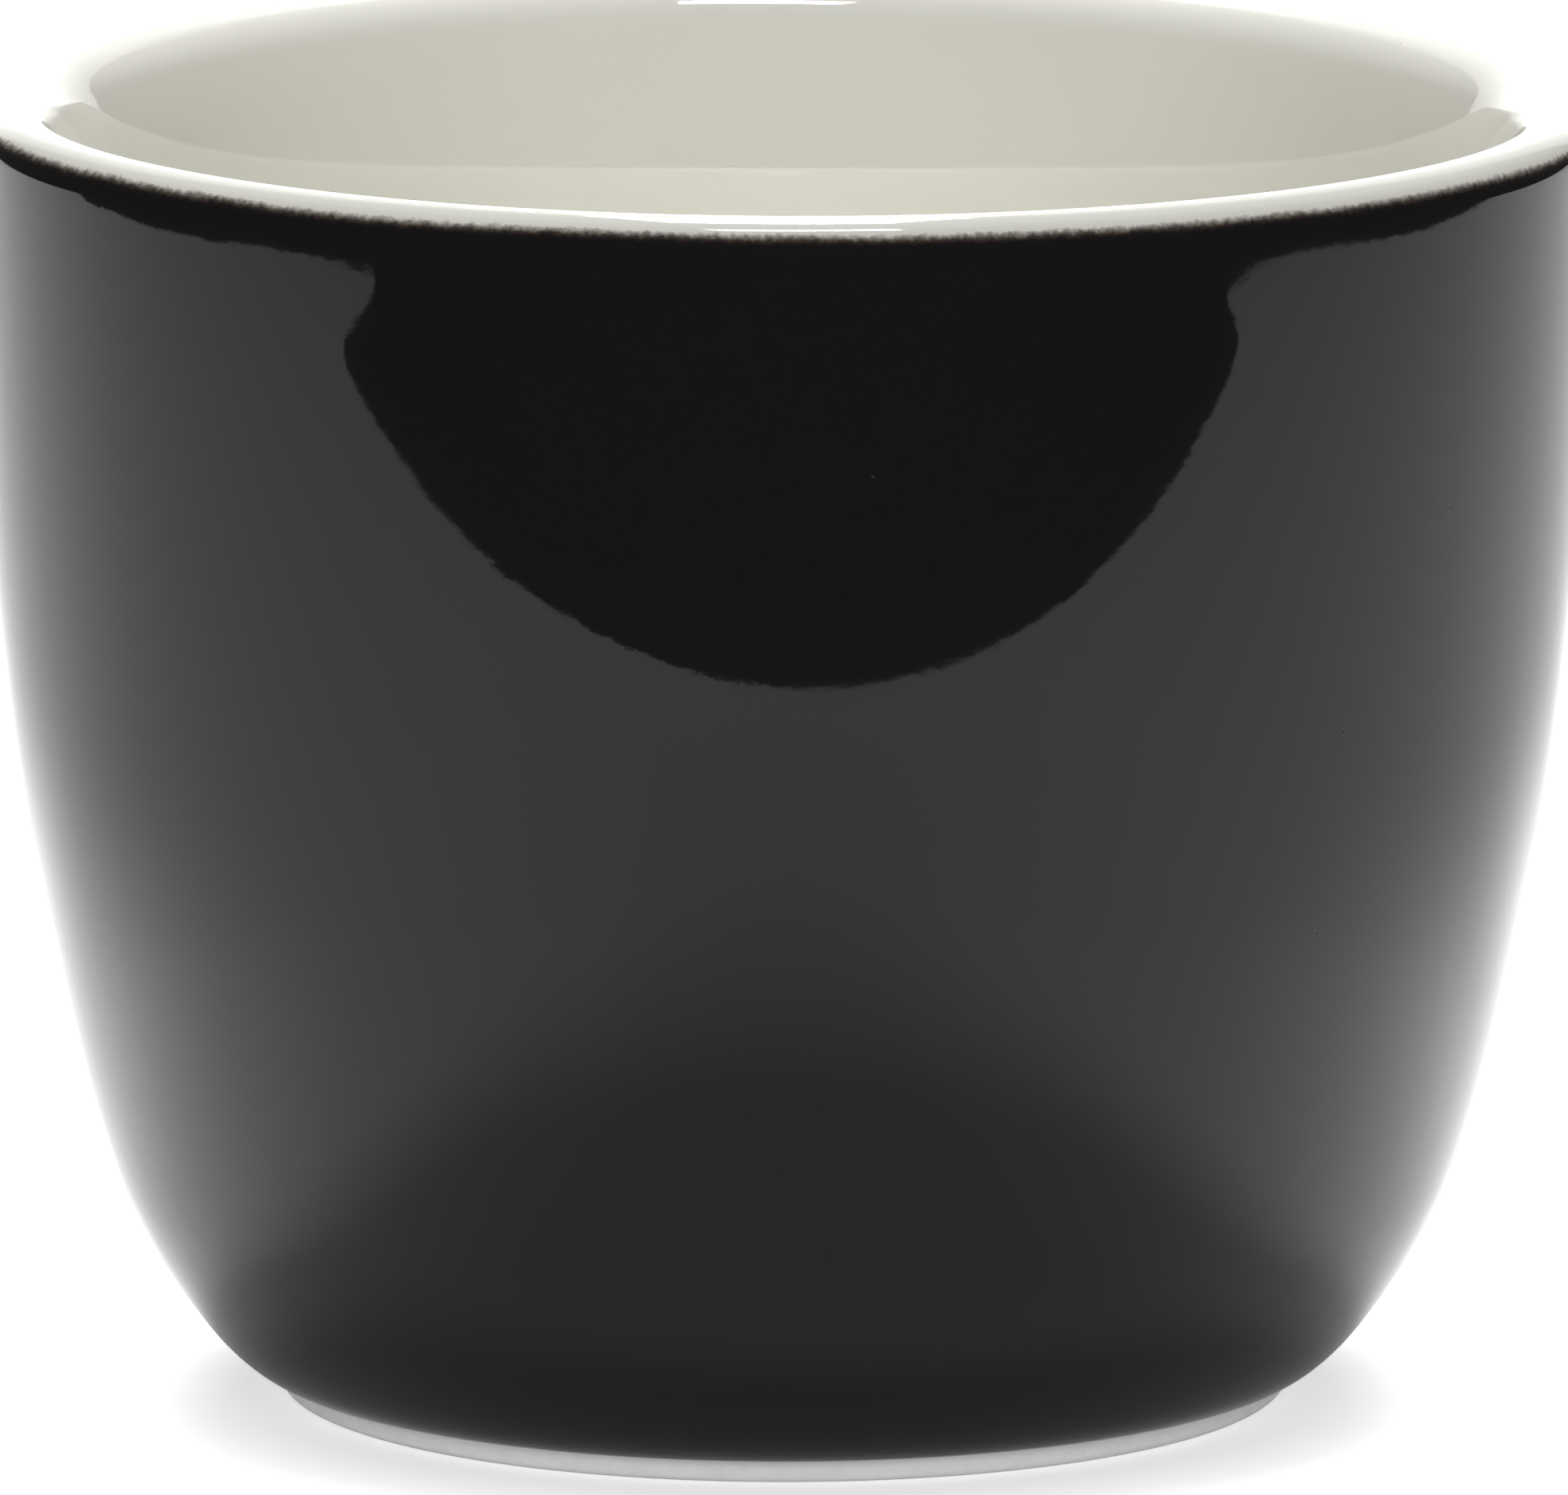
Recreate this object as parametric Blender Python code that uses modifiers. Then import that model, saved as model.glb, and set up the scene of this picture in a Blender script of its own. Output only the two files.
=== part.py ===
"""Handleless espresso cup: turned white porcelain, glazed black outside and white inside.

Metres, +Z up. The origin is on the cup's axis, in the plane that the foot ring stands on.
"""

import math

import bpy
from mathutils import Vector

MM = 0.001
MERGE_DISTANCE = 0.001 * MM

# Overall size
RIM_DIAMETER = 65.0 * MM
CUP_HEIGHT = 52.0 * MM
LIP_OUTER_RADIUS = 1.34 * MM
LIP_INNER_RADIUS = 2.4 * MM

# Outer wall, one long curve from the lip down to the heel. Leans are degrees inwards from the vertical.
WALL_TOP_LEAN = 1.4
HEEL_DIAMETER = 52.5 * MM
HEEL_HEIGHT = 8.0 * MM
HEEL_LEAN = 24.8
WALL_TOP_PULL = 0.576
WALL_HEEL_PULL = 0.096

# Heel, from the wall to the lower edge of the black glaze
GLAZE_EDGE_OVERHANG = 1.25 * MM
GLAZE_EDGE_HEIGHT = 1.05 * MM
GLAZE_EDGE_LEAN = 64.0
HEEL_WALL_PULL = 0.086
HEEL_EDGE_PULL = 0.326

# Foot ring and the recess inside it
FOOT_DIAMETER = 39.5 * MM
FOOT_RING_WIDTH = 2.6 * MM
FOOT_EDGE_RADIUS = 0.35 * MM
FOOT_FILLET_PULL = 0.4
RECESS_BARE_HEIGHT = 0.4 * MM
RECESS_FILLET = 1.8 * MM
RECESS_CROWN = 0.25 * MM

# Inside of the cup: the bowl, and above it the flare in which the wall thins out to the lip
BASE_THICKNESS = 4.0 * MM
BOWL_TOP_LEAN = 4.5
BOWL_WALL_PULL = 0.82
BOWL_FLOOR_PULL = 0.92
LIP_FLARE_LEAN = 20.7
LIP_FLARE_RADIUS = 27.0 * MM

# Glaze coats. The bond is the clearance left between a coat and what it is fused to.
GLAZE_THICKNESS = 0.35 * MM
GLAZE_BOND = 0.3 * MM
GLAZE_LINE_ANGLE = 29.0  # degrees up the outer side of the lip, where black meets white

# Facets
TURN_STEPS = 56
LIP_INNER_SEGMENTS = 3
LIP_OUTER_SEGMENTS = 2
WALL_SEGMENTS = 7
HEEL_SEGMENTS = 5
BOWL_SEGMENTS = 11
LIP_FLARE_SEGMENTS = 3
FOOT_FILLET_SEGMENTS = 3
FOOT_EDGE_SEGMENTS = 2
RECESS_FILLET_SEGMENTS = 3
RECESS_CROWN_SEGMENTS = 2

# Sizes that follow from the ones above
LIP_CROWN_RADIUS = RIM_DIAMETER / 2 - LIP_OUTER_RADIUS
LIP_OUTER_CENTRE = Vector((LIP_CROWN_RADIUS, CUP_HEIGHT - LIP_OUTER_RADIUS))
LIP_INNER_CENTRE = Vector((LIP_CROWN_RADIUS, CUP_HEIGHT - LIP_INNER_RADIUS))
FOOT_RADIUS = FOOT_DIAMETER / 2
FOOT_INNER_RADIUS = FOOT_RADIUS - FOOT_RING_WIDTH
RECESS_FILLET_HEIGHT = FOOT_EDGE_RADIUS + RECESS_BARE_HEIGHT
RECESS_DEPTH = RECESS_FILLET_HEIGHT + RECESS_FILLET
BOWL_FLOOR = RECESS_DEPTH + RECESS_CROWN + BASE_THICKNESS
BODY_DEPTH = GLAZE_THICKNESS + GLAZE_BOND
GLAZE_LINE_HALF_GAP = math.degrees(GLAZE_BOND / 2 / LIP_OUTER_RADIUS)
LIP_CROWN_ANGLE = 90.0

UP = Vector((0, 1))
TO_AXIS = Vector((-1, 0))


def leaning(degrees):
    """The way down a surface of the half section that leans in by this angle."""
    angle = math.radians(degrees)
    return Vector((-math.sin(angle), -math.cos(angle)))


def left_of(way):
    """The unit normal on the left of a way, which is out of the porcelain all along the section."""
    return Vector((-way.y, way.x)).normalized()


def way_of(normal):
    """The way along the section at a normal."""
    return Vector((normal.y, -normal.x))


def bezier(start, start_pull, end_pull, end, segments):
    """Stations along a cubic curve: each is a point of the half section and its normal."""
    stations = []
    for i in range(segments + 1):
        t = i / segments
        s = 1 - t
        before = start * (s * s) + start_pull * (2 * s * t) + end_pull * (t * t)
        after = start_pull * (s * s) + end_pull * (2 * s * t) + end * (t * t)
        stations.append((before * s + after * t, left_of(after - before)))
    return stations


def arc(centre, radius, start_degrees, end_degrees, segments):
    """Stations along an arc, with 0 degrees pointing away from the axis and 90 degrees up."""
    outwards = 1 if end_degrees < start_degrees else -1
    stations = []
    for i in range(segments + 1):
        angle = math.radians(start_degrees + (end_degrees - start_degrees) * i / segments)
        spoke = Vector((math.cos(angle), math.sin(angle)))
        stations.append((centre + spoke * radius, spoke * outwards))
    return stations


def flare_stations():
    """The inside of the wall where it opens out towards the lip."""
    out_of_lip = -left_of(leaning(LIP_FLARE_LEAN))
    centre = LIP_INNER_CENTRE - out_of_lip * (LIP_FLARE_RADIUS - LIP_INNER_RADIUS)
    return arc(centre, LIP_FLARE_RADIUS, 180 - BOWL_TOP_LEAN, 180 - LIP_FLARE_LEAN, LIP_FLARE_SEGMENTS)


def bowl_stations():
    """The inside of the cup, from the middle of its floor up its wall to the lip."""
    flare = flare_stations()
    floor = Vector((0, BOWL_FLOOR))
    wall = flare[0][0]
    depth = wall.y - floor.y
    floor_pull = floor - TO_AXIS * (BOWL_FLOOR_PULL * wall.x)
    wall_pull = wall + leaning(BOWL_TOP_LEAN) * (BOWL_WALL_PULL * depth)
    return bezier(floor, floor_pull, wall_pull, wall, BOWL_SEGMENTS) + flare[1:]


def outer_lip(start_degrees, end_degrees):
    """A stretch of the lip's outer side, which is rounder than its inner side."""
    return arc(LIP_OUTER_CENTRE, LIP_OUTER_RADIUS, start_degrees, end_degrees, LIP_OUTER_SEGMENTS)


def inner_lip_stations(end_degrees):
    """The lip from the bowl over its crown, as far as an angle on its outer side."""
    start_degrees = 180 - LIP_FLARE_LEAN
    inner = arc(LIP_INNER_CENTRE, LIP_INNER_RADIUS, start_degrees, LIP_CROWN_ANGLE, LIP_INNER_SEGMENTS)
    return inner + outer_lip(LIP_CROWN_ANGLE, end_degrees)[1:]


def outer_lip_stations(start_degrees):
    """The lip from an angle on its outer side down to the wall."""
    return outer_lip(start_degrees, -WALL_TOP_LEAN)


def wall_stations():
    """The outside of the cup, from the lip down the wall and the heel to the black glaze's lower edge."""
    top = LIP_OUTER_CENTRE + left_of(leaning(WALL_TOP_LEAN)) * LIP_OUTER_RADIUS
    heel = Vector((HEEL_DIAMETER / 2, HEEL_HEIGHT))
    edge = Vector((FOOT_RADIUS + GLAZE_EDGE_OVERHANG, GLAZE_EDGE_HEIGHT))
    wall_length = (heel - top).length
    heel_length = (edge - heel).length
    wall = bezier(
        top,
        top + leaning(WALL_TOP_LEAN) * (WALL_TOP_PULL * wall_length),
        heel - leaning(HEEL_LEAN) * (WALL_HEEL_PULL * wall_length),
        heel,
        WALL_SEGMENTS,
    )
    turn = bezier(
        heel,
        heel + leaning(HEEL_LEAN) * (HEEL_WALL_PULL * heel_length),
        edge - leaning(GLAZE_EDGE_LEAN) * (HEEL_EDGE_PULL * heel_length),
        edge,
        HEEL_SEGMENTS,
    )
    return wall + turn[1:]


def foot_stations(heel_end):
    """The bare foot ring, from the heel's end round the flat contact face to the recess."""
    start, normal = heel_end
    outer_centre = Vector((FOOT_RADIUS, FOOT_EDGE_RADIUS))
    inner_centre = Vector((FOOT_INNER_RADIUS, FOOT_EDGE_RADIUS))
    outer_edge = arc(outer_centre, FOOT_EDGE_RADIUS, 0, -90, FOOT_EDGE_SEGMENTS)
    inner_edge = arc(inner_centre, FOOT_EDGE_RADIUS, -90, -180, FOOT_EDGE_SEGMENTS)
    end = outer_edge[0][0]
    reach = FOOT_FILLET_PULL * (end - start).length
    fillet = bezier(start, start + way_of(normal) * reach, end + UP * reach, end, FOOT_FILLET_SEGMENTS)
    return fillet[1:] + outer_edge[1:] + inner_edge


def recess_stations():
    """The recess inside the foot ring, from the top of its bare wall to the middle of its ceiling."""
    corner = Vector((FOOT_INNER_RADIUS - FOOT_EDGE_RADIUS, RECESS_FILLET_HEIGHT))
    fillet = arc(corner + TO_AXIS * RECESS_FILLET, RECESS_FILLET, 0, 90, RECESS_FILLET_SEGMENTS)
    rim = fillet[-1][0]
    crown = Vector((0, rim.y + RECESS_CROWN))
    half_way = TO_AXIS * (rim.x / 2)
    ceiling = bezier(rim, rim + half_way, crown - half_way, crown, RECESS_CROWN_SEGMENTS)
    return fillet + ceiling[1:]


def places(stations, depth=0.0):
    """The stations' points, sunk below their surface by a depth."""
    return [place - normal * depth for place, normal in stations]


def coat(stations, lift=0.0):
    """The two faces of a glaze coat whose top lies on the stations, or is lifted off them."""
    return places(stations, -lift), places(stations, GLAZE_THICKNESS - lift)[::-1]


def rolled_edge(top, bonded, way):
    """The rounded edge that a glaze coat ends in, half its thickness past its last station."""
    return (top + bonded) / 2 + way * (GLAZE_THICKNESS / 2)


def porcelain_body_outline():
    """The fired clay: below the glaze by a coat and its bond, and bare at the foot."""
    lip = inner_lip_stations(GLAZE_LINE_ANGLE) + outer_lip_stations(GLAZE_LINE_ANGLE)[1:]
    glazed = bowl_stations() + lip[1:] + wall_stations()[1:]
    outline = places(glazed, BODY_DEPTH)
    heel_end = (outline[-1], glazed[-1][1])
    return outline + places(foot_stations(heel_end)) + places(recess_stations())


def black_outer_glaze_outline():
    """The black coat, from the lip's shoulder down to a rolled edge above the foot."""
    stations = outer_lip_stations(GLAZE_LINE_ANGLE - GLAZE_LINE_HALF_GAP) + wall_stations()[1:]
    top, bonded = coat(stations)
    edge = rolled_edge(top[-1], bonded[0], way_of(stations[-1][1]))
    return top + [edge] + bonded


def white_inner_glaze_outline():
    """The white coat, over the bowl and the crown of the lip to its shoulder."""
    stations = bowl_stations() + inner_lip_stations(GLAZE_LINE_ANGLE + GLAZE_LINE_HALF_GAP)[1:]
    top, bonded = coat(stations)
    return top + bonded


def foot_recess_glaze_outline():
    """The clear coat in the recess, which stops short of the foot ring's contact face."""
    stations = recess_stations()
    top, bonded = coat(stations, lift=BODY_DEPTH)
    edge = rolled_edge(top[0], bonded[-1], -way_of(stations[0][1]))
    return top + bonded + [edge]


def material(name, colour, roughness):
    """A plain surface of one colour, given in linear light."""
    surface = bpy.data.materials.new(name)
    surface.use_nodes = True
    shader = surface.node_tree.nodes["Principled BSDF"]
    shader.inputs["Base Color"].default_value = (*colour, 1.0)
    shader.inputs["Roughness"].default_value = roughness
    shader.inputs["Metallic"].default_value = 0.0
    surface.diffuse_color = (*colour, 1.0)
    return surface


def on_axis(place):
    """Whether a point of the half section lies on the cup's axis."""
    return abs(place.x) < MERGE_DISTANCE


def turned(name, outline, surface, collection, parent):
    """A closed outline of the half section, turned about the cup's axis."""
    count = len(outline)
    edges = [(i, (i + 1) % count) for i in range(count)]
    edges = [(a, b) for a, b in edges if not (on_axis(outline[a]) and on_axis(outline[b]))]
    mesh = bpy.data.meshes.new(name)
    mesh.from_pydata([(place.x, 0.0, place.y) for place in outline], edges, [])
    mesh.materials.append(surface)
    part = bpy.data.objects.new(name, mesh)
    part.parent = parent
    collection.objects.link(part)
    turn = part.modifiers.new("turn", "SCREW")
    turn.axis = "Z"
    turn.angle = math.tau
    turn.steps = TURN_STEPS
    turn.render_steps = TURN_STEPS
    turn.use_merge_vertices = True
    turn.merge_threshold = MERGE_DISTANCE
    turn.use_smooth_shade = True
    return part


def build():
    for old in list(bpy.data.objects):
        bpy.data.objects.remove(old, do_unlink=True)
    collection = bpy.data.collections.new("espresso_cup")
    bpy.context.scene.collection.children.link(collection)
    cup = bpy.data.objects.new("espresso_cup", None)
    collection.objects.link(cup)

    bare_porcelain = material("bare_porcelain", (0.76, 0.75, 0.71), 0.65)
    black_glaze = material("black_glaze", (0.008, 0.0078, 0.0078), 0.06)
    white_glaze = material("white_glaze", (0.80, 0.79, 0.72), 0.08)
    clear_glaze = material("clear_glaze", (0.78, 0.77, 0.72), 0.1)

    turned("porcelain_body", porcelain_body_outline(), bare_porcelain, collection, cup)
    turned("black_outer_glaze", black_outer_glaze_outline(), black_glaze, collection, cup)
    turned("white_inner_glaze", white_inner_glaze_outline(), white_glaze, collection, cup)
    turned("foot_recess_glaze", foot_recess_glaze_outline(), clear_glaze, collection, cup)


build()
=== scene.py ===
"""Looks of the handleless espresso cup: its glazes, its bare foot, the table, the light and the camera."""

import math

import bpy
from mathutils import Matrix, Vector
from mathutils.geometry import interpolate_bezier


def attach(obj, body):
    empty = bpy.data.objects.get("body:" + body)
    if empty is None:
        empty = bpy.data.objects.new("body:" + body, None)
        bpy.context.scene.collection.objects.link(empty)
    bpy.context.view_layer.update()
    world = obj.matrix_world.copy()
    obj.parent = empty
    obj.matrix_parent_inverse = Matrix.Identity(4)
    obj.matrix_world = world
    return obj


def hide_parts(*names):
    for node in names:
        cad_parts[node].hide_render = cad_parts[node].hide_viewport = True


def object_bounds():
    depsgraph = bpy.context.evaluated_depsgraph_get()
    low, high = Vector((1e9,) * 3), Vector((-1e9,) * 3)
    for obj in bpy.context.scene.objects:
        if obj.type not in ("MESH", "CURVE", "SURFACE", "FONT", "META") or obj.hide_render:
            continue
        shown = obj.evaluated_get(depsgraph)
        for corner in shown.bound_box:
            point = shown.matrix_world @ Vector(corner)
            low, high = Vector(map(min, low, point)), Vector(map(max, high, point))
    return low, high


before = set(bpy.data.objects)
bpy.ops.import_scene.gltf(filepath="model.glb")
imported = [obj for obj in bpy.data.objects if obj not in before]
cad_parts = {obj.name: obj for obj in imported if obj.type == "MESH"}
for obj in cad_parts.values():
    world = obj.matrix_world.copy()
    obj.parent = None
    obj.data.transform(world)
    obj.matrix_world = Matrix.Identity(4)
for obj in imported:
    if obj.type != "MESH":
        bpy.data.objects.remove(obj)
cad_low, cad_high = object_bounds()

MM = 0.001

# Cup outline, as turned. Leans are degrees inwards from the vertical, pulls are shares of a curve's length.
RIM_RADIUS = cad_high.x
CUP_HEIGHT = cad_high.z
LIP_OUTER_RADIUS = 1.34 * MM
LIP_INNER_RADIUS = 2.4 * MM
WALL_TOP_LEAN = 1.4
WALL_TOP_PULL = 0.576
WALL_HEEL_PULL = 0.096
HEEL_RADIUS = 26.25 * MM
HEEL_HEIGHT = 8.0 * MM
HEEL_LEAN = 24.8
HEEL_WALL_PULL = 0.086
HEEL_EDGE_PULL = 0.326
GLAZE_EDGE_RADIUS = 21.0 * MM
GLAZE_EDGE_HEIGHT = 1.05 * MM
GLAZE_EDGE_LEAN = 64.0
FOOT_RADIUS = 19.75 * MM
FOOT_INNER_RADIUS = 17.15 * MM
FOOT_ROUNDING = 0.35 * MM
FOOT_FILLET_PULL = 0.4
RECESS_FILLET = 1.8 * MM
RECESS_FILLET_HEIGHT = 0.75 * MM
RECESS_CROWN = 0.25 * MM
BOWL_FLOOR = 6.8 * MM
BOWL_TOP_LEAN = 4.5
LIP_FLARE_LEAN = 20.7
LIP_FLARE_RADIUS = 27.0 * MM
BOWL_WALL_PULL = 0.82
BOWL_FLOOR_PULL = 0.92

# Slope of the fired rim, which is lower on the right. It fades to nothing at the foot.
RIM_SAG = 0.0038

# Glaze coats. Angles are about the centre of the outer lip, up from the level.
GLAZE_THICKNESS = 0.35 * MM
GLAZE_FUSE = 0.02 * MM
GLAZE_LINE_ANGLE = 29.0
GLAZE_SEAM_ANGLE = 58.0

# Fineness of the turned meshes
TURN_SEGMENTS = 288
BOWL_STEPS = 80
FLARE_STEPS = 24
INNER_LIP_STEPS = 28
CROWN_STEPS = 12
OUTER_LIP_STEPS = 24
WALL_STEPS = 72
HEEL_STEPS = 40
FOOT_FILLET_STEPS = 12
FOOT_EDGE_STEPS = 8
RECESS_FILLET_STEPS = 16
RECESS_CROWN_STEPS = 12
GLAZE_EDGE_STEPS = 6
SHARP_ANGLE = math.radians(50)

LIP_CROWN_RADIUS = RIM_RADIUS - LIP_OUTER_RADIUS
LIP_CROWN_ANGLE = 90.0
LIP_OUTER_CENTRE = Vector((LIP_CROWN_RADIUS, CUP_HEIGHT - LIP_OUTER_RADIUS))
LIP_INNER_CENTRE = Vector((LIP_CROWN_RADIUS, CUP_HEIGHT - LIP_INNER_RADIUS))
GLAZE_LINE_RISE = LIP_OUTER_RADIUS * math.sin(math.radians(GLAZE_LINE_ANGLE))
GLAZE_LINE_HEIGHT = LIP_OUTER_CENTRE.y + GLAZE_LINE_RISE
CUP_MIDDLE = Vector((0, 0, CUP_HEIGHT / 2))
UP = Vector((0, 1))
TO_AXIS = Vector((-1, 0))


# Half section of the cup

def leaning(degrees):
    """The way down a surface of the half section that leans in by this angle."""
    angle = math.radians(degrees)
    return Vector((-math.sin(angle), -math.cos(angle)))


def left_of(way):
    """The unit normal on the left of a way, which is out of the cup all along the section."""
    return Vector((-way.y, way.x)).normalized()


def way_of(normal):
    """The way along the section at a normal."""
    return Vector((normal.y, -normal.x))


def bezier(start, start_pull, end_pull, end, segments):
    """Stations along a cubic curve: each is a point of the half section and its normal."""
    stations = []
    for i in range(segments + 1):
        t = i / segments
        s = 1 - t
        before = start * (s * s) + start_pull * (2 * s * t) + end_pull * (t * t)
        after = start_pull * (s * s) + end_pull * (2 * s * t) + end * (t * t)
        stations.append((before * s + after * t, left_of(after - before)))
    return stations


def arc(centre, radius, start_degrees, end_degrees, segments):
    """Stations along an arc, with 0 degrees pointing away from the axis and 90 degrees up."""
    outwards = 1 if end_degrees < start_degrees else -1
    stations = []
    for i in range(segments + 1):
        angle = math.radians(start_degrees + (end_degrees - start_degrees) * i / segments)
        spoke = Vector((math.cos(angle), math.sin(angle)))
        stations.append((centre + spoke * radius, spoke * outwards))
    return stations


def places(stations, depth=0.0):
    """The stations' points, sunk below their surface by a depth."""
    return [place - normal * depth for place, normal in stations]


def flare_stations():
    """The inside of the wall where it opens out towards the lip."""
    out_of_lip = -left_of(leaning(LIP_FLARE_LEAN))
    centre = LIP_INNER_CENTRE - out_of_lip * (LIP_FLARE_RADIUS - LIP_INNER_RADIUS)
    return arc(centre, LIP_FLARE_RADIUS, 180 - BOWL_TOP_LEAN, 180 - LIP_FLARE_LEAN, FLARE_STEPS)


def bowl_stations():
    """The inside of the cup, from the middle of its floor up its wall to the lip."""
    flare = flare_stations()
    floor = Vector((0, BOWL_FLOOR))
    wall = flare[0][0]
    floor_pull = floor - TO_AXIS * (BOWL_FLOOR_PULL * wall.x)
    wall_pull = wall + leaning(BOWL_TOP_LEAN) * (BOWL_WALL_PULL * (wall.y - floor.y))
    return bezier(floor, floor_pull, wall_pull, wall, BOWL_STEPS) + flare[1:]


def inner_lip_stations():
    """The lip from the bowl over its crown to the seam of the two glazes."""
    flare_end = 180 - LIP_FLARE_LEAN
    inner = arc(LIP_INNER_CENTRE, LIP_INNER_RADIUS, flare_end, LIP_CROWN_ANGLE, INNER_LIP_STEPS)
    outer = arc(LIP_OUTER_CENTRE, LIP_OUTER_RADIUS, LIP_CROWN_ANGLE, GLAZE_SEAM_ANGLE, CROWN_STEPS)
    return inner + outer[1:]


def outer_lip_stations():
    """The lip from the seam of the two glazes down to the wall."""
    return arc(LIP_OUTER_CENTRE, LIP_OUTER_RADIUS, GLAZE_SEAM_ANGLE, -WALL_TOP_LEAN, OUTER_LIP_STEPS)


def wall_stations():
    """The outside of the cup, from the lip down the wall and the heel to the black glaze's lower edge."""
    top = LIP_OUTER_CENTRE + left_of(leaning(WALL_TOP_LEAN)) * LIP_OUTER_RADIUS
    heel = Vector((HEEL_RADIUS, HEEL_HEIGHT))
    edge = Vector((GLAZE_EDGE_RADIUS, GLAZE_EDGE_HEIGHT))
    wall_length = (heel - top).length
    heel_length = (edge - heel).length
    wall = bezier(
        top,
        top + leaning(WALL_TOP_LEAN) * (WALL_TOP_PULL * wall_length),
        heel - leaning(HEEL_LEAN) * (WALL_HEEL_PULL * wall_length),
        heel,
        WALL_STEPS,
    )
    turn = bezier(
        heel,
        heel + leaning(HEEL_LEAN) * (HEEL_WALL_PULL * heel_length),
        edge - leaning(GLAZE_EDGE_LEAN) * (HEEL_EDGE_PULL * heel_length),
        edge,
        HEEL_STEPS,
    )
    return wall + turn[1:]


def foot_stations(start, normal):
    """The bare foot ring, from the heel's end round the flat contact face to the recess."""
    outer_centre = Vector((FOOT_RADIUS, FOOT_ROUNDING))
    inner_centre = Vector((FOOT_INNER_RADIUS, FOOT_ROUNDING))
    outer_edge = arc(outer_centre, FOOT_ROUNDING, 0, -90, FOOT_EDGE_STEPS)
    inner_edge = arc(inner_centre, FOOT_ROUNDING, -90, -180, FOOT_EDGE_STEPS)
    end = outer_edge[0][0]
    reach = FOOT_FILLET_PULL * (end - start).length
    fillet = bezier(start, start + way_of(normal) * reach, end + UP * reach, end, FOOT_FILLET_STEPS)
    return fillet[1:] + outer_edge[1:] + inner_edge


def recess_stations():
    """The recess inside the foot ring, from the top of its bare wall to the middle of its ceiling."""
    corner = Vector((FOOT_INNER_RADIUS - FOOT_ROUNDING, RECESS_FILLET_HEIGHT))
    fillet = arc(corner + TO_AXIS * RECESS_FILLET, RECESS_FILLET, 0, 90, RECESS_FILLET_STEPS)
    rim = fillet[-1][0]
    crown = Vector((0, rim.y + RECESS_CROWN))
    half_way = TO_AXIS * (rim.x / 2)
    ceiling = bezier(rim, rim + half_way, crown - half_way, crown, RECESS_CROWN_STEPS)
    return fillet + ceiling[1:]


def rolled_edge(top, bonded, way):
    """The half round that a glaze coat ends in, from its top to the face fused to the clay."""
    middle = (top + bonded) / 2
    out = (top - bonded) / 2
    angles = [math.pi * i / GLAZE_EDGE_STEPS for i in range(1, GLAZE_EDGE_STEPS)]
    return [middle + out * math.cos(a) + way * (out.length * math.sin(a)) for a in angles]


# Turned pieces

def porcelain_body_outline():
    """The fired clay, just under the glaze and bare at the foot."""
    glazed = bowl_stations() + inner_lip_stations()[1:] + outer_lip_stations()[1:] + wall_stations()[1:]
    outline = places(glazed, GLAZE_THICKNESS + GLAZE_FUSE)
    foot = foot_stations(outline[-1], glazed[-1][1])
    return outline + places(foot) + places(recess_stations())


def black_glaze_outline():
    """The black coat, from the seam on the lip down to a rolled edge above the foot."""
    stations = outer_lip_stations() + wall_stations()[1:]
    top = places(stations)
    bonded = places(stations, GLAZE_THICKNESS)[::-1]
    return top + rolled_edge(top[-1], bonded[0], way_of(stations[-1][1])) + bonded


def white_glaze_outline():
    """The white coat, over the bowl and the crown of the lip to the seam."""
    stations = bowl_stations() + inner_lip_stations()[1:]
    return places(stations) + places(stations, GLAZE_THICKNESS)[::-1]


def recess_glaze_outline():
    """The clear coat in the recess, which stops short of the contact face."""
    stations = recess_stations()
    top = places(stations, -GLAZE_THICKNESS)
    bonded = places(stations, -GLAZE_FUSE)[::-1]
    return top + bonded + rolled_edge(bonded[-1], top[0], -way_of(stations[0][1]))


def on_axis(place):
    """Whether a point of the half section lies on the axis, where a ring shrinks to one corner."""
    return abs(place.x) < MM * MM


def turned(name, outline):
    """A closed outline of the half section, turned about the cup's axis."""
    corners = []
    rings = []
    for place in outline:
        sag = RIM_SAG * (place.y / CUP_HEIGHT) ** 2
        if on_axis(place):
            rings.append([len(corners)] * TURN_SEGMENTS)
            corners.append((0.0, 0.0, place.y))
            continue
        rings.append(range(len(corners), len(corners) + TURN_SEGMENTS))
        for k in range(TURN_SEGMENTS):
            angle = math.tau * k / TURN_SEGMENTS
            x = place.x * math.cos(angle)
            corners.append((x, place.x * math.sin(angle), place.y - sag * x))
    faces = []
    for i, ring in enumerate(rings):
        below = rings[(i + 1) % len(rings)]
        if ring[0] == ring[1] and below[0] == below[1]:
            continue
        for k in range(TURN_SEGMENTS):
            after = (k + 1) % TURN_SEGMENTS
            face = [ring[k], below[k], below[after], ring[after]]
            faces.append(list(dict.fromkeys(face)))
    mesh = bpy.data.meshes.new(name)
    mesh.from_pydata(corners, [], faces)
    mesh.shade_smooth()
    mesh.set_sharp_from_angle(angle=SHARP_ANGLE)
    piece = bpy.data.objects.new(name, mesh)
    bpy.context.scene.collection.objects.link(piece)
    return piece


# Finishes. Colours are linear, and lengths in the node trees are millimetres.

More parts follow.
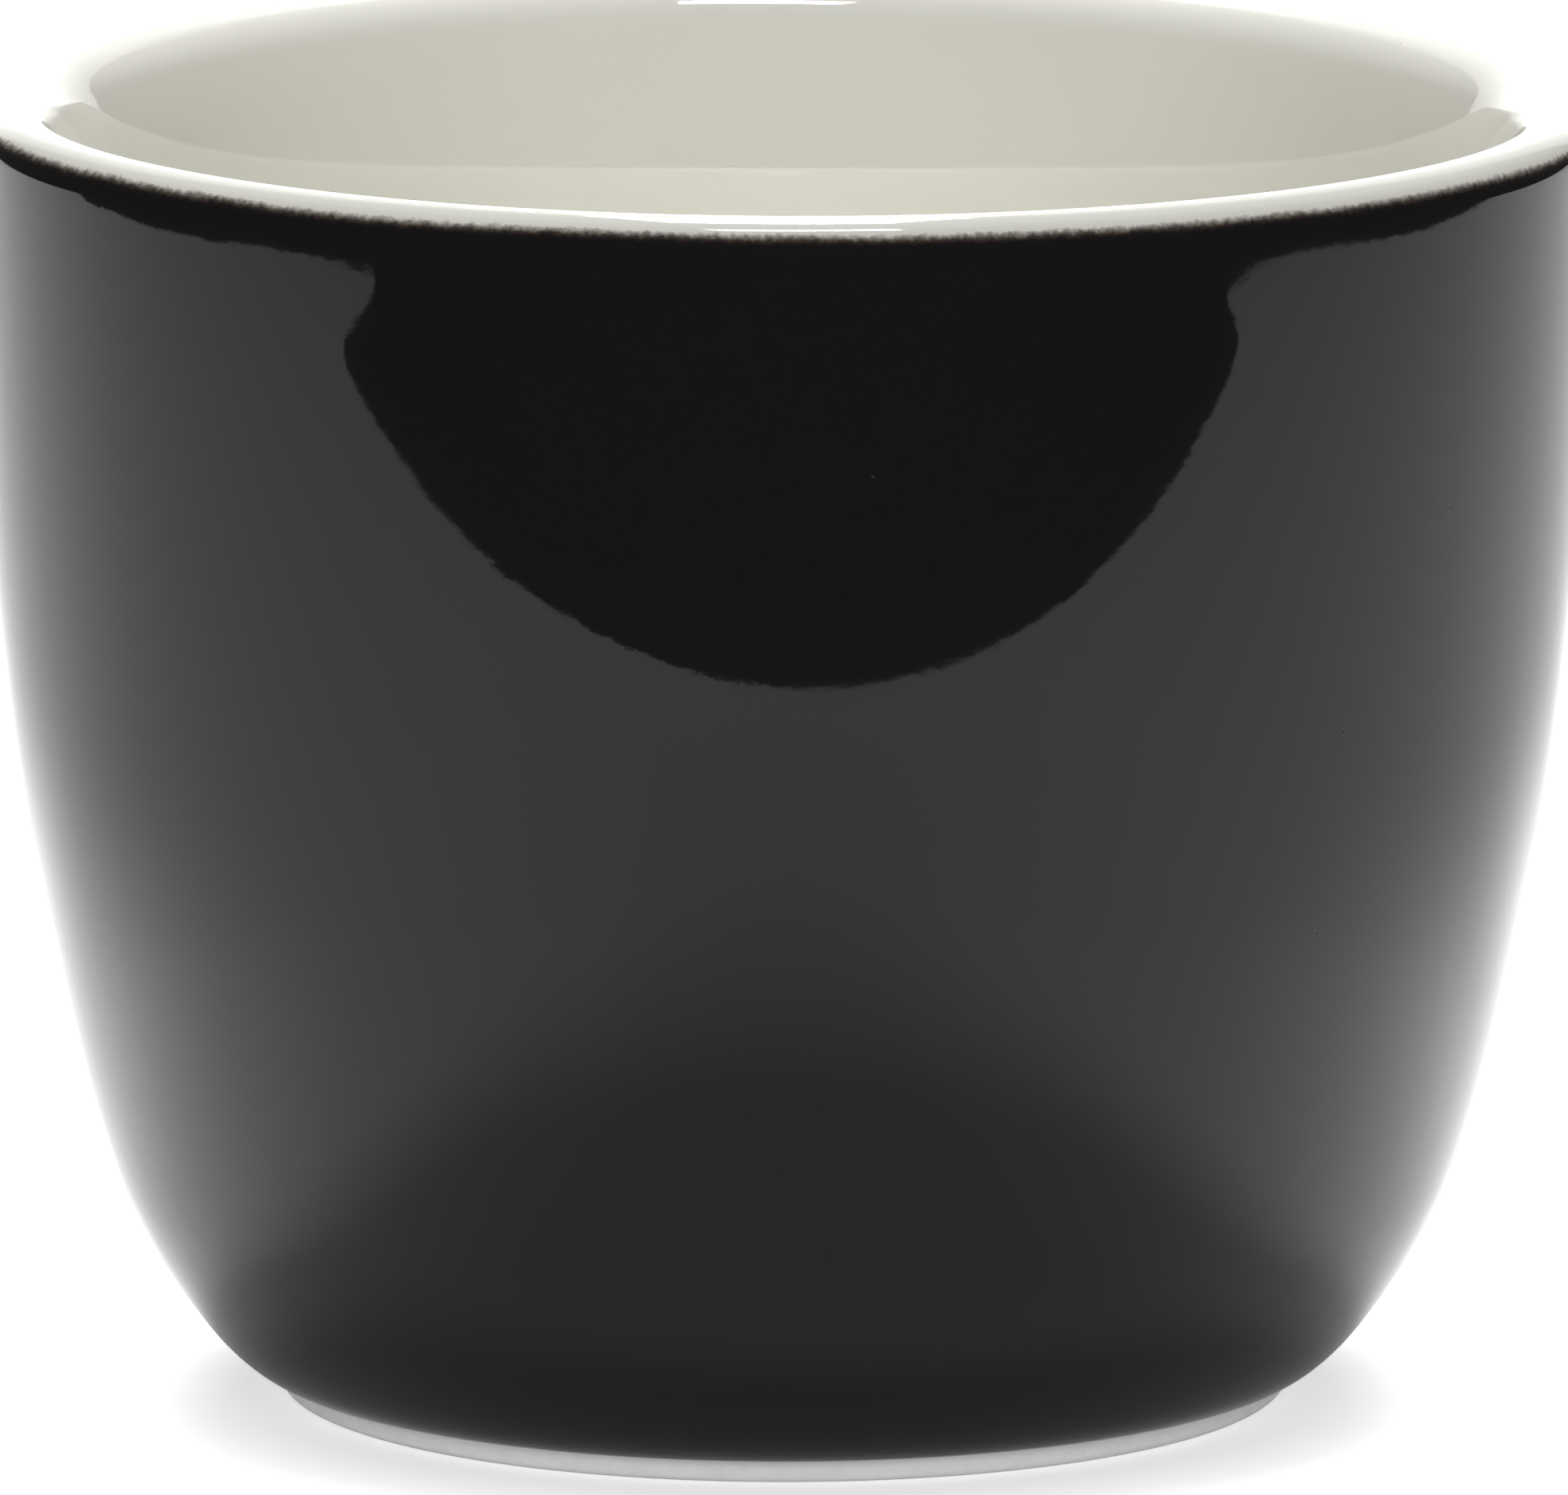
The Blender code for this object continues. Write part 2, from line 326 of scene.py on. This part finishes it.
BLACK_GLAZE = (0.0100, 0.0100, 0.0102)
WHITE_GLAZE = (0.88, 0.87, 0.805)
WHITE_GLAZE_THIN = (0.86, 0.85, 0.785)
WHITE_GLAZE_POOLED = (0.85, 0.84, 0.76)
BARE_PORCELAIN_DARK = (0.80, 0.797, 0.785)
BARE_PORCELAIN_LIGHT = (0.87, 0.867, 0.855)
CLEAR_GLAZE_DARK = (0.76, 0.75, 0.69)
CLEAR_GLAZE_LIGHT = (0.80, 0.79, 0.73)
CLEAR_GLAZE_POOLED = (0.68, 0.69, 0.61)
PINHOLE_SHADE = (0.62, 0.60, 0.55)
GROUND_FOOT_SHADE = (0.83, 0.828, 0.82)

# What the glazes share. Scales are lumps in a millimetre.
GLAZE_IOR = 1.5
WHITE_GLAZE_IOR = 1.75
RIPPLE_SCALE = 0.5
GRAIN_SCALE = 2.5
GLOSS_SCALE = 0.09
PINHOLE_SPACING = 4.0
PINHOLE_RADIUS = 0.08
PINHOLE_CORE = 0.4
PINHOLE_DEPTH = 0.015
PINHOLE_DULLNESS = 0.2
DRIFT_DETAIL = 3.0
DRIFT_START = 0.3
DRIFT_END = 0.7

# Each glaze's own skin: heights of its ripple and grain, and its roughness where it is smooth and dull
BLACK_SKIN = {"Ripple": 0.0028, "Grain": 0.0005, "Smooth": 0.022, "Dull": 0.042}
WHITE_SKIN = {"Ripple": 0.0008, "Grain": 0.0001, "Smooth": 0.012, "Dull": 0.028}
CLEAR_SKIN = {"Ripple": 0.004, "Grain": 0.0005, "Smooth": 0.04, "Dull": 0.09}

# Clouds in the pale glazes, and where each pools: the white by height, the clear by distance from the axis
WHITE_CLOUD_SCALE = 0.08
WHITE_POOL_START = 15.0
WHITE_POOL_END = 7.5
CLEAR_CLOUD_SCALE = 0.15
CLEAR_POOL_START = 14.0
CLEAR_POOL_END = 16.5

# Bare clay at the foot, with its fine grain, its turning marks and its ground contact face
CLAY_GRAIN_SCALE = 6.0
CLAY_GRAIN_HEIGHT = 0.02
CLAY_CLOUD_SCALE = 1.5
CLAY_DETAIL = 4.0
CLAY_COARSENESS = 0.7
TURNING_SCALE = 3.0
TURNING_DETAIL = 3.0
TURNING_COARSENESS = 0.6
TURNING_HEIGHT = 0.015
TURNING_SHARE = 0.3
GROUND_FOOT_HEIGHT = 0.25
CLAY_ROUGHNESS = 0.65
GROUND_FOOT_ROUGHNESS = 0.45

# Where the black runs out over the white of the lip, as heights about the glaze line
GLAZE_LINE_TILT = -0.0068
GLAZE_LINE_BELOW = 0.33
GLAZE_LINE_ABOVE = 0.19
GLAZE_LINE_WAVE = 0.12
GLAZE_LINE_WAVE_SCALE = 0.12
GLAZE_LINE_TEETH = 0.14
GLAZE_LINE_TEETH_SCALE = 3.2
GLAZE_LINE_TEETH_DETAIL = 2.0
GLAZE_LINE_TEETH_COARSENESS = 0.6
GLAZE_LINE_COLOURS = [
    (0.0, BLACK_GLAZE),
    (0.15, (0.0115, 0.0105, 0.0105)),
    (0.35, (0.021, 0.0155, 0.0145)),
    (0.55, (0.072, 0.058, 0.048)),
    (0.75, (0.30, 0.272, 0.240)),
    (1.0, WHITE_GLAZE),
]


def node(tree, kind, **settings):
    """A shader node with its settings."""
    made = tree.nodes.new(kind)
    for key, value in settings.items():
        setattr(made, key, value)
    return made


def math_node(tree, operation, first, second):
    """One sum on two values, each a number or another node's output."""
    made = node(tree, "ShaderNodeMath", operation=operation)
    for place, value in enumerate((first, second)):
        if isinstance(value, (int, float)):
            made.inputs[place].default_value = value
        else:
            tree.links.new(value, made.inputs[place])
    return made.outputs[0]


def weighted(tree, terms):
    """The sum of values, each times its weight."""
    total = 0.0
    for value, weight in terms:
        total = math_node(tree, "ADD", math_node(tree, "MULTIPLY", value, weight), total)
    return total


def millimetres(tree):
    """The surface point, from the middle of the foot."""
    point = node(tree, "ShaderNodeTexCoord")
    scaled = node(tree, "ShaderNodeVectorMath", operation="SCALE")
    scaled.inputs["Scale"].default_value = 1 / MM
    tree.links.new(point.outputs["Object"], scaled.inputs[0])
    return scaled.outputs[0]


def split(tree, point):
    """The three coordinates of a point."""
    made = node(tree, "ShaderNodeSeparateXYZ")
    tree.links.new(point, made.inputs[0])
    return made.outputs


def from_axis(tree, point):
    """The distance of a point from the cup's axis."""
    x, y, _ = split(tree, point)
    square = math_node(tree, "ADD", math_node(tree, "MULTIPLY", x, x), math_node(tree, "MULTIPLY", y, y))
    return math_node(tree, "SQRT", square, 0.0)


def noise(tree, vector, scale, detail=2.0, roughness=0.5):
    """Noise from 0 to 1 whose lumps are about 1 / scale wide."""
    made = node(tree, "ShaderNodeTexNoise")
    made.inputs["Scale"].default_value = scale
    made.inputs["Detail"].default_value = detail
    made.inputs["Roughness"].default_value = roughness
    tree.links.new(vector, made.inputs["Vector"])
    return made.outputs["Fac"]


def turning_marks(tree, point):
    """Noise from 0 to 1 that runs in rings about the cup's axis."""
    rings = node(tree, "ShaderNodeCombineXYZ")
    tree.links.new(from_axis(tree, point), rings.inputs["X"])
    tree.links.new(split(tree, point)[2], rings.inputs["Z"])
    return noise(tree, rings.outputs[0], TURNING_SCALE, TURNING_DETAIL, TURNING_COARSENESS)


def dots(tree, vector, spacing, radius):
    """Scattered round dots: 1 in the middle of each and 0 outside it."""
    made = node(tree, "ShaderNodeTexVoronoi")
    made.inputs["Scale"].default_value = 1 / spacing
    tree.links.new(vector, made.inputs["Vector"])
    edge = radius / spacing
    return between(tree, made.outputs["Distance"], edge, PINHOLE_CORE * edge, 0.0, 1.0)


def between(tree, value, start, end, low, high):
    """A value that goes from low to high while another goes from start to end."""
    made = node(tree, "ShaderNodeMapRange")
    made.inputs["From Min"].default_value = start
    made.inputs["From Max"].default_value = end
    made.inputs["To Min"].default_value = low
    made.inputs["To Max"].default_value = high
    tree.links.new(value, made.inputs["Value"])
    return made.outputs["Result"]


def ramp(tree, value, stops):
    """Colours along a value, from a list of positions and linear colours."""
    made = node(tree, "ShaderNodeValToRGB")
    elements = made.color_ramp.elements
    while len(elements) < len(stops):
        elements.new(1.0)
    for element, (position, colour) in zip(elements, stops):
        element.position = position
        element.color = (*colour, 1.0)
    tree.links.new(value, made.inputs[0])
    return made.outputs["Color"]


def tinted(tree, colour, share, tint):
    """A colour that goes over to a tint as a share goes from 0 to 1."""
    made = node(tree, "ShaderNodeMix", data_type="RGBA")
    tree.links.new(share, made.inputs["Factor"])
    tree.links.new(colour, made.inputs["A"])
    made.inputs["B"].default_value = (*tint, 1.0)
    return made.outputs["Result"]


def surface(name):
    """An empty material, with its node tree and its Principled shader."""
    made = bpy.data.materials.new(name)
    made.use_nodes = True
    return made, made.node_tree, made.node_tree.nodes["Principled BSDF"]


def relief(tree, height, shader):
    """Relief of a height on a shader."""
    made = node(tree, "ShaderNodeBump")
    made.inputs["Strength"].default_value = 1.0
    made.inputs["Distance"].default_value = MM
    tree.links.new(height, made.inputs["Height"])
    tree.links.new(made.outputs["Normal"], shader.inputs["Normal"])


def glaze_skin():
    """What the glazes share: the orange peel, the drift of the gloss and a few pinholes."""
    group = bpy.data.node_groups.new("glaze_skin", "ShaderNodeTree")
    for name in ("Ripple", "Grain", "Smooth", "Dull"):
        group.interface.new_socket(name=name, in_out="INPUT", socket_type="NodeSocketFloat")
    for name in ("Height", "Roughness", "Pinholes"):
        group.interface.new_socket(name=name, in_out="OUTPUT", socket_type="NodeSocketFloat")
    given = node(group, "NodeGroupInput").outputs
    result = node(group, "NodeGroupOutput").inputs
    point = millimetres(group)
    pinholes = dots(group, point, PINHOLE_SPACING, PINHOLE_RADIUS)
    ripple = noise(group, point, RIPPLE_SCALE)
    grain = noise(group, point, GRAIN_SCALE)
    height = [(ripple, given["Ripple"]), (grain, given["Grain"]), (pinholes, -PINHOLE_DEPTH)]
    group.links.new(weighted(group, height), result["Height"])
    drift = between(group, noise(group, point, GLOSS_SCALE, DRIFT_DETAIL), DRIFT_START, DRIFT_END, 0.0, 1.0)
    spread = math_node(group, "SUBTRACT", given["Dull"], given["Smooth"])
    roughness = [(given["Smooth"], 1.0), (drift, spread), (pinholes, PINHOLE_DULLNESS)]
    group.links.new(weighted(group, roughness), result["Roughness"])
    group.links.new(pinholes, result["Pinholes"])
    return group


def glaze_cloud():
    """What the pale glazes share: a colour that drifts from a thin coat's to a thick coat's."""
    group = bpy.data.node_groups.new("glaze_cloud", "ShaderNodeTree")
    group.interface.new_socket(name="Scale", in_out="INPUT", socket_type="NodeSocketFloat")
    for name in ("Thin", "Thick"):
        group.interface.new_socket(name=name, in_out="INPUT", socket_type="NodeSocketColor")
    group.interface.new_socket(name="Color", in_out="OUTPUT", socket_type="NodeSocketColor")
    given = node(group, "NodeGroupInput").outputs
    result = node(group, "NodeGroupOutput").inputs
    lumps = node(group, "ShaderNodeTexNoise")
    lumps.inputs["Detail"].default_value = DRIFT_DETAIL
    group.links.new(millimetres(group), lumps.inputs["Vector"])
    group.links.new(given["Scale"], lumps.inputs["Scale"])
    thickness = between(group, lumps.outputs["Fac"], DRIFT_START, DRIFT_END, 0.0, 1.0)
    colour = node(group, "ShaderNodeMix", data_type="RGBA")
    group.links.new(thickness, colour.inputs["Factor"])
    group.links.new(given["Thin"], colour.inputs["A"])
    group.links.new(given["Thick"], colour.inputs["B"])
    group.links.new(colour.outputs["Result"], result["Color"])
    return group


GLAZE_SKIN = glaze_skin()
GLAZE_CLOUD = glaze_cloud()


def clouded(tree, scale, thin, thick):
    """The shared clouds, between a glaze's own two colours."""
    cloud = node(tree, "ShaderNodeGroup", node_tree=GLAZE_CLOUD)
    cloud.inputs["Scale"].default_value = scale
    cloud.inputs["Thin"].default_value = (*thin, 1.0)
    cloud.inputs["Thick"].default_value = (*thick, 1.0)
    return cloud.outputs["Color"]


def glazed(tree, shader, ior, values):
    """The shared glaze skin on a shader, with this glaze's own values. Gives back the pinholes."""
    skin = node(tree, "ShaderNodeGroup", node_tree=GLAZE_SKIN)
    for name, value in values.items():
        skin.inputs[name].default_value = value
    shader.inputs["IOR"].default_value = ior
    tree.links.new(skin.outputs["Roughness"], shader.inputs["Roughness"])
    relief(tree, skin.outputs["Height"], shader)
    return skin.outputs["Pinholes"]


def black_glaze():
    """Gloss black that thins out to a ragged brown edge on the white of the lip."""
    made, tree, shader = surface("black_glaze")
    point = millimetres(tree)
    x, _, z = split(tree, point)
    wave = noise(tree, point, GLAZE_LINE_WAVE_SCALE)
    wave = between(tree, wave, 0.0, 1.0, -GLAZE_LINE_WAVE, GLAZE_LINE_WAVE)
    teeth = noise(tree, point, GLAZE_LINE_TEETH_SCALE, GLAZE_LINE_TEETH_DETAIL, GLAZE_LINE_TEETH_COARSENESS)
    teeth = between(tree, teeth, 0.0, 1.0, -GLAZE_LINE_TEETH, GLAZE_LINE_TEETH)
    line = weighted(tree, [(x, GLAZE_LINE_TILT), (wave, 1.0), (teeth, 1.0)])
    height = math_node(tree, "SUBTRACT", z, line)
    level = GLAZE_LINE_HEIGHT / MM
    share = between(tree, height, level - GLAZE_LINE_BELOW, level + GLAZE_LINE_ABOVE, 0.0, 1.0)
    tree.links.new(ramp(tree, share, GLAZE_LINE_COLOURS), shader.inputs["Base Color"])
    glazed(tree, shader, GLAZE_IOR, BLACK_SKIN)
    return made


def white_glaze():
    """Warm white that clouds a little and pools in the bottom of the bowl."""
    made, tree, shader = surface("white_glaze")
    point = millimetres(tree)
    cloud = clouded(tree, WHITE_CLOUD_SCALE, WHITE_GLAZE_THIN, WHITE_GLAZE)
    pool = between(tree, split(tree, point)[2], WHITE_POOL_START, WHITE_POOL_END, 0.0, 1.0)
    colour = tinted(tree, cloud, pool, WHITE_GLAZE_POOLED)
    pinholes = glazed(tree, shader, WHITE_GLAZE_IOR, WHITE_SKIN)
    tree.links.new(tinted(tree, colour, pinholes, PINHOLE_SHADE), shader.inputs["Base Color"])
    return made


def bare_porcelain():
    """Unglazed clay with turning marks, ground smoother and greyer at the contact face."""
    made, tree, shader = surface("bare_porcelain")
    point = millimetres(tree)
    grain = noise(tree, point, CLAY_GRAIN_SCALE, CLAY_DETAIL, CLAY_COARSENESS)
    rings = turning_marks(tree, point)
    lumps = noise(tree, point, CLAY_CLOUD_SCALE, CLAY_DETAIL)
    cloud = weighted(tree, [(lumps, 1 - TURNING_SHARE), (rings, TURNING_SHARE)])
    clay = ramp(tree, cloud, [(DRIFT_START, BARE_PORCELAIN_DARK), (DRIFT_END, BARE_PORCELAIN_LIGHT)])
    ground = between(tree, split(tree, point)[2], GROUND_FOOT_HEIGHT, 0.0, 0.0, 1.0)
    tree.links.new(tinted(tree, clay, ground, GROUND_FOOT_SHADE), shader.inputs["Base Color"])
    roughness = between(tree, ground, 0.0, 1.0, CLAY_ROUGHNESS, GROUND_FOOT_ROUGHNESS)
    tree.links.new(roughness, shader.inputs["Roughness"])
    relief(tree, weighted(tree, [(grain, CLAY_GRAIN_HEIGHT), (rings, TURNING_HEIGHT)]), shader)
    return made


def clear_glaze():
    """The clear coat of the recess, greener where it pools at the edge."""
    made, tree, shader = surface("clear_glaze")
    point = millimetres(tree)
    cloud = clouded(tree, CLEAR_CLOUD_SCALE, CLEAR_GLAZE_DARK, CLEAR_GLAZE_LIGHT)
    pool = between(tree, from_axis(tree, point), CLEAR_POOL_START, CLEAR_POOL_END, 0.0, 1.0)
    colour = tinted(tree, cloud, pool, CLEAR_GLAZE_POOLED)
    pinholes = glazed(tree, shader, GLAZE_IOR, CLEAR_SKIN)
    tree.links.new(tinted(tree, colour, pinholes, PINHOLE_SHADE), shader.inputs["Base Color"])
    return made


def dress(name, outline, finish, node_name):
    """One piece of the cup, turned and finished, in the place of a solid."""
    piece = turned(name, outline)
    piece.data.materials.append(finish)
    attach(piece, "root")
    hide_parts(node_name)


dress("clay_body", porcelain_body_outline(), bare_porcelain(), "porcelain_body")
dress("black_coat", black_glaze_outline(), black_glaze(), "black_outer_glaze")
dress("white_coat", white_glaze_outline(), white_glaze(), "white_inner_glaze")
dress("recess_coat", recess_glaze_outline(), clear_glaze(), "foot_recess_glaze")


# Table, light and camera

# The front edge of the paper in millimetres, which the black glaze mirrors as the edge of its dark patch
PAPER_FRONT = [
    (-286, 60), (-266, -70), (-217, -141), (-203, -129), (-196, -112), (-180, -108), (-142, -112),
    (-30, -118), (126, -107), (196, -103), (220, -119), (266, -68), (286, 60),
]
PAPER_FRONT_STEPS = 8
SWEEP_START = 180 * MM
SWEEP_RADIUS = 320 * MM
SWEEP_STEPS = 18
SWEEP_HEIGHT = 500 * MM
GROUND_REACH = 4000 * MM
GROUND_DROP = 0.5 * MM
PAPER = (0.82, 0.82, 0.82)
PAPER_ROUGHNESS = 0.9
TABLE_GLOW = 0.92
# The paper's glow for the camera falls to this next to the cup, by ambient occlusion: a painted contact
# shadow round the foot
TABLE_GLOW_IN_PAINTED_SHADOW = 0.47
TABLE_GLOW_MIRRORED = 0.05
PAINTED_CONTACT_SHADOW_REACH = 6 * MM
PAINTED_CONTACT_SHADOW_SAMPLES = 8

# The main softbox, high behind the cup, with tilts in degrees above the table and powers in watts
KEY_TILT = 60.0
KEY_DISTANCE = 700 * MM
KEY_SIZE = (130 * MM, 268 * MM)
KEY_POWER = 3.5

# A small softbox overhead, for the highlights on the lip
TOP_PLACE = Vector((20 * MM, -110 * MM, 610 * MM))
TOP_SIZE = (160 * MM, 70 * MM)
TOP_POWER = 0.65

# A soft fill from low in front, for the bowl
FILL_TILT = 14.0
FILL_DISTANCE = 900 * MM
FILL_SIZE = (400 * MM, 400 * MM)
FILL_POWER = 3.15

# Lamps that shine straight down on the paper behind and beside the cup, for the pale sides of the black
WASH_PLACE = Vector((0, 300 * MM, 260 * MM))
WASH_SIZE = (300 * MM, 120 * MM)
WASH_POWER = 0.95
SIDE_WASH_PLACE = Vector((55 * MM, 43 * MM, 90 * MM))
SIDE_WASH_SIZE = (30 * MM, 100 * MM)
SIDE_WASH_SPREAD = math.radians(50)
SIDE_WASH_POWER = 0.013

# Weak strips near the table, for the foot: the direction of each in degrees, and its power
FOOT_LIGHTS = ((180, 0.0011), (225, 0.0005), (270, 0.0004), (315, 0.0005), (360, 0.0011))
FOOT_LIGHT_REACH = 75 * MM
FOOT_LIGHT_HEIGHT = 5 * MM
FOOT_LIGHT_SIZE = (56 * MM, 8 * MM)
FOOT_LIGHT_SPREAD = math.radians(60)

OPEN_SPREAD = math.radians(180)
SURROUND_COLOUR = (0.04, 0.04, 0.04)

# The camera looks down by its tilt at a point on the cup's axis
VIEW_TILT = 10.302
VIEW_DISTANCE = 975 * MM
VIEW_HEIGHT = 25.65 * MM
VIEW_LENS = 562.5
VIEW_SENSOR = 36.0


def smooth_edge(places):
    """A smooth curve through the places, as points."""
    points = [places[0]]
    padded = [places[0], *places, places[-1]]
    for before, start, end, after in zip(padded, padded[1:], padded[2:], padded[3:]):
        start_pull = start + (end - before) / 6
        end_pull = end - (after - start) / 6
        points += interpolate_bezier(start, start_pull, end_pull, end, PAPER_FRONT_STEPS + 1)[1:]
    return points


def sheet(name, corners, height, finish):
    """A flat sheet of the stage, from its corners in order."""
    mesh = bpy.data.meshes.new(name)
    mesh.from_pydata([(x, y, height) for x, y in corners], [], [range(len(corners))])
    mesh.materials.append(finish)
    made = bpy.data.objects.new(name, mesh)
    bpy.context.scene.collection.objects.link(made)
    return made


def table_finish():
    """Paper that the camera sees as white, with the cup's shadow from the lamps on it and a painted contact
    shadow where its glow dims near the cup, and the glaze nearly as it is lit.
    """
    made, tree, shader = surface("white_paper")
    shader.inputs["Base Color"].default_value = (*PAPER, 1.0)
    shader.inputs["Roughness"].default_value = PAPER_ROUGHNESS
    shader.inputs["Specular IOR Level"].default_value = 0.0
    shader.inputs["Emission Color"].default_value = (1.0, 1.0, 1.0, 1.0)
    rays = node(tree, "ShaderNodeLightPath")
    mirrored = math_node(tree, "ADD", rays.outputs["Is Glossy Ray"], rays.outputs["Is Transmission Ray"])
    # The glow that the camera sees dims by ambient occlusion near the cup: a painted contact shadow, added
    # to the shadows that the lamps cast.
    painted_shadow_occlusion = node(tree, "ShaderNodeAmbientOcclusion", samples=PAINTED_CONTACT_SHADOW_SAMPLES)
    painted_shadow_occlusion.inputs["Distance"].default_value = PAINTED_CONTACT_SHADOW_REACH
    painted_shadow_glow = between(tree, painted_shadow_occlusion.outputs["AO"], 0.0, 1.0, TABLE_GLOW_IN_PAINTED_SHADOW, TABLE_GLOW)
    seen = math_node(tree, "MULTIPLY", rays.outputs["Is Camera Ray"], painted_shadow_glow)
    glow = math_node(tree, "ADD", seen, math_node(tree, "MULTIPLY", mirrored, TABLE_GLOW_MIRRORED))
    tree.links.new(glow, shader.inputs["Emission Strength"])
    return made


def stage():
    """The white paper that the cup stands on and, for the camera alone, the same white all round it."""
    paper = table_finish()
    front = smooth_edge([Vector(place) * MM for place in PAPER_FRONT])
    back = [Vector((front[-1].x, SWEEP_START)), Vector((front[0].x, SWEEP_START))]
    sheet("table_paper", front + back, 0.0, paper)
    sweep(front[-1].x, paper)
    r = GROUND_REACH
    ground = sheet("ground", [(-r, -r), (r, -r), (r, r), (-r, r)], -GROUND_DROP, paper)
    ground.visible_glossy = False
    ground.visible_diffuse = False


def sweep(half_width, finish):
    """The paper behind the cup, which turns up from the table into a backdrop."""
    centre = Vector((SWEEP_START, SWEEP_RADIUS))
    angles = [math.radians(90) * i / SWEEP_STEPS for i in range(SWEEP_STEPS + 1)]
    section = [centre + Vector((math.sin(a), -math.cos(a))) * SWEEP_RADIUS for a in angles]
    section.append(section[-1] + UP * SWEEP_HEIGHT)
    corners = [(x, place.x, place.y) for place in section for x in (-half_width, half_width)]
    faces = [(i, i + 1, i + 3, i + 2) for i in range(0, len(corners) - 2, 2)]
    mesh = bpy.data.meshes.new("paper_sweep")
    mesh.from_pydata(corners, [], faces)
    mesh.shade_smooth()
    mesh.materials.append(finish)
    made = bpy.data.objects.new("paper_sweep", mesh)
    bpy.context.scene.collection.objects.link(made)


def softbox(name, place, size, power, faces=CUP_MIDDLE, spread=OPEN_SPREAD, mirrored=False):
    """A rectangular lamp at a place, facing a point. The glaze mirrors it only where that is asked for."""
    lamp = bpy.data.lights.new(name, "AREA")
    lamp.shape = "RECTANGLE"
    lamp.size, lamp.size_y = size
    lamp.energy = power
    lamp.spread = spread
    made = bpy.data.objects.new(name, lamp)
    made.location = place
    made.rotation_euler = (faces - place).to_track_quat("-Z", "Y").to_euler()
    made.visible_camera = False
    made.visible_glossy = mirrored
    bpy.context.scene.collection.objects.link(made)
    return made


def tilted(degrees, distance):
    """A place behind the cup, or in front of it past 90 degrees, at an angle above the table."""
    angle = math.radians(degrees)
    return CUP_MIDDLE + Vector((0, math.cos(angle), math.sin(angle))) * distance


def straight_down(place):
    """The point of the table under a place."""
    return Vector((place.x, place.y, 0))


def lights():
    """The lamps, and the dim grey that lies all round beyond the paper."""
    softbox("back_softbox", tilted(KEY_TILT, KEY_DISTANCE), KEY_SIZE, KEY_POWER, mirrored=True)
    softbox("back_wash", WASH_PLACE, WASH_SIZE, WASH_POWER, straight_down(WASH_PLACE))
    softbox("top_softbox", TOP_PLACE, TOP_SIZE, TOP_POWER, mirrored=True)
    for side in (-1, 1):
        place = SIDE_WASH_PLACE * Vector((side, 1, 1))
        below = straight_down(place)
        softbox("side_wash", place, SIDE_WASH_SIZE, SIDE_WASH_POWER, below, SIDE_WASH_SPREAD)
    for turn, power in FOOT_LIGHTS:
        angle = math.radians(turn)
        place = Vector((math.cos(angle), math.sin(angle), 0)) * FOOT_LIGHT_REACH
        place.z = FOOT_LIGHT_HEIGHT
        foot = Vector((0, 0, place.z))
        softbox(f"foot_light_{turn}", place, FOOT_LIGHT_SIZE, power, foot, FOOT_LIGHT_SPREAD)
    softbox("front_fill", tilted(180 - FILL_TILT, FILL_DISTANCE), FILL_SIZE, FILL_POWER)
    world = bpy.data.worlds.new("studio")
    world.use_nodes = True
    world.node_tree.nodes["Background"].inputs["Color"].default_value = (*SURROUND_COLOUR, 1.0)
    bpy.context.scene.world = world


def camera():
    """The camera, at the view of the photograph."""
    lens = bpy.data.cameras.new("camera")
    lens.sensor_fit = "HORIZONTAL"
    lens.sensor_width = VIEW_SENSOR
    lens.lens = VIEW_LENS
    made = bpy.data.objects.new("camera", lens)
    tilt = math.radians(VIEW_TILT)
    back = Vector((0, -math.cos(tilt), math.sin(tilt)))
    made.location = Vector((0, 0, VIEW_HEIGHT)) + back * VIEW_DISTANCE
    made.rotation_euler = (-back).to_track_quat("-Z", "Y").to_euler()
    bpy.context.scene.collection.objects.link(made)
    bpy.context.scene.camera = made


stage()
lights()
camera()
bpy.context.scene.view_settings.view_transform = "Standard"
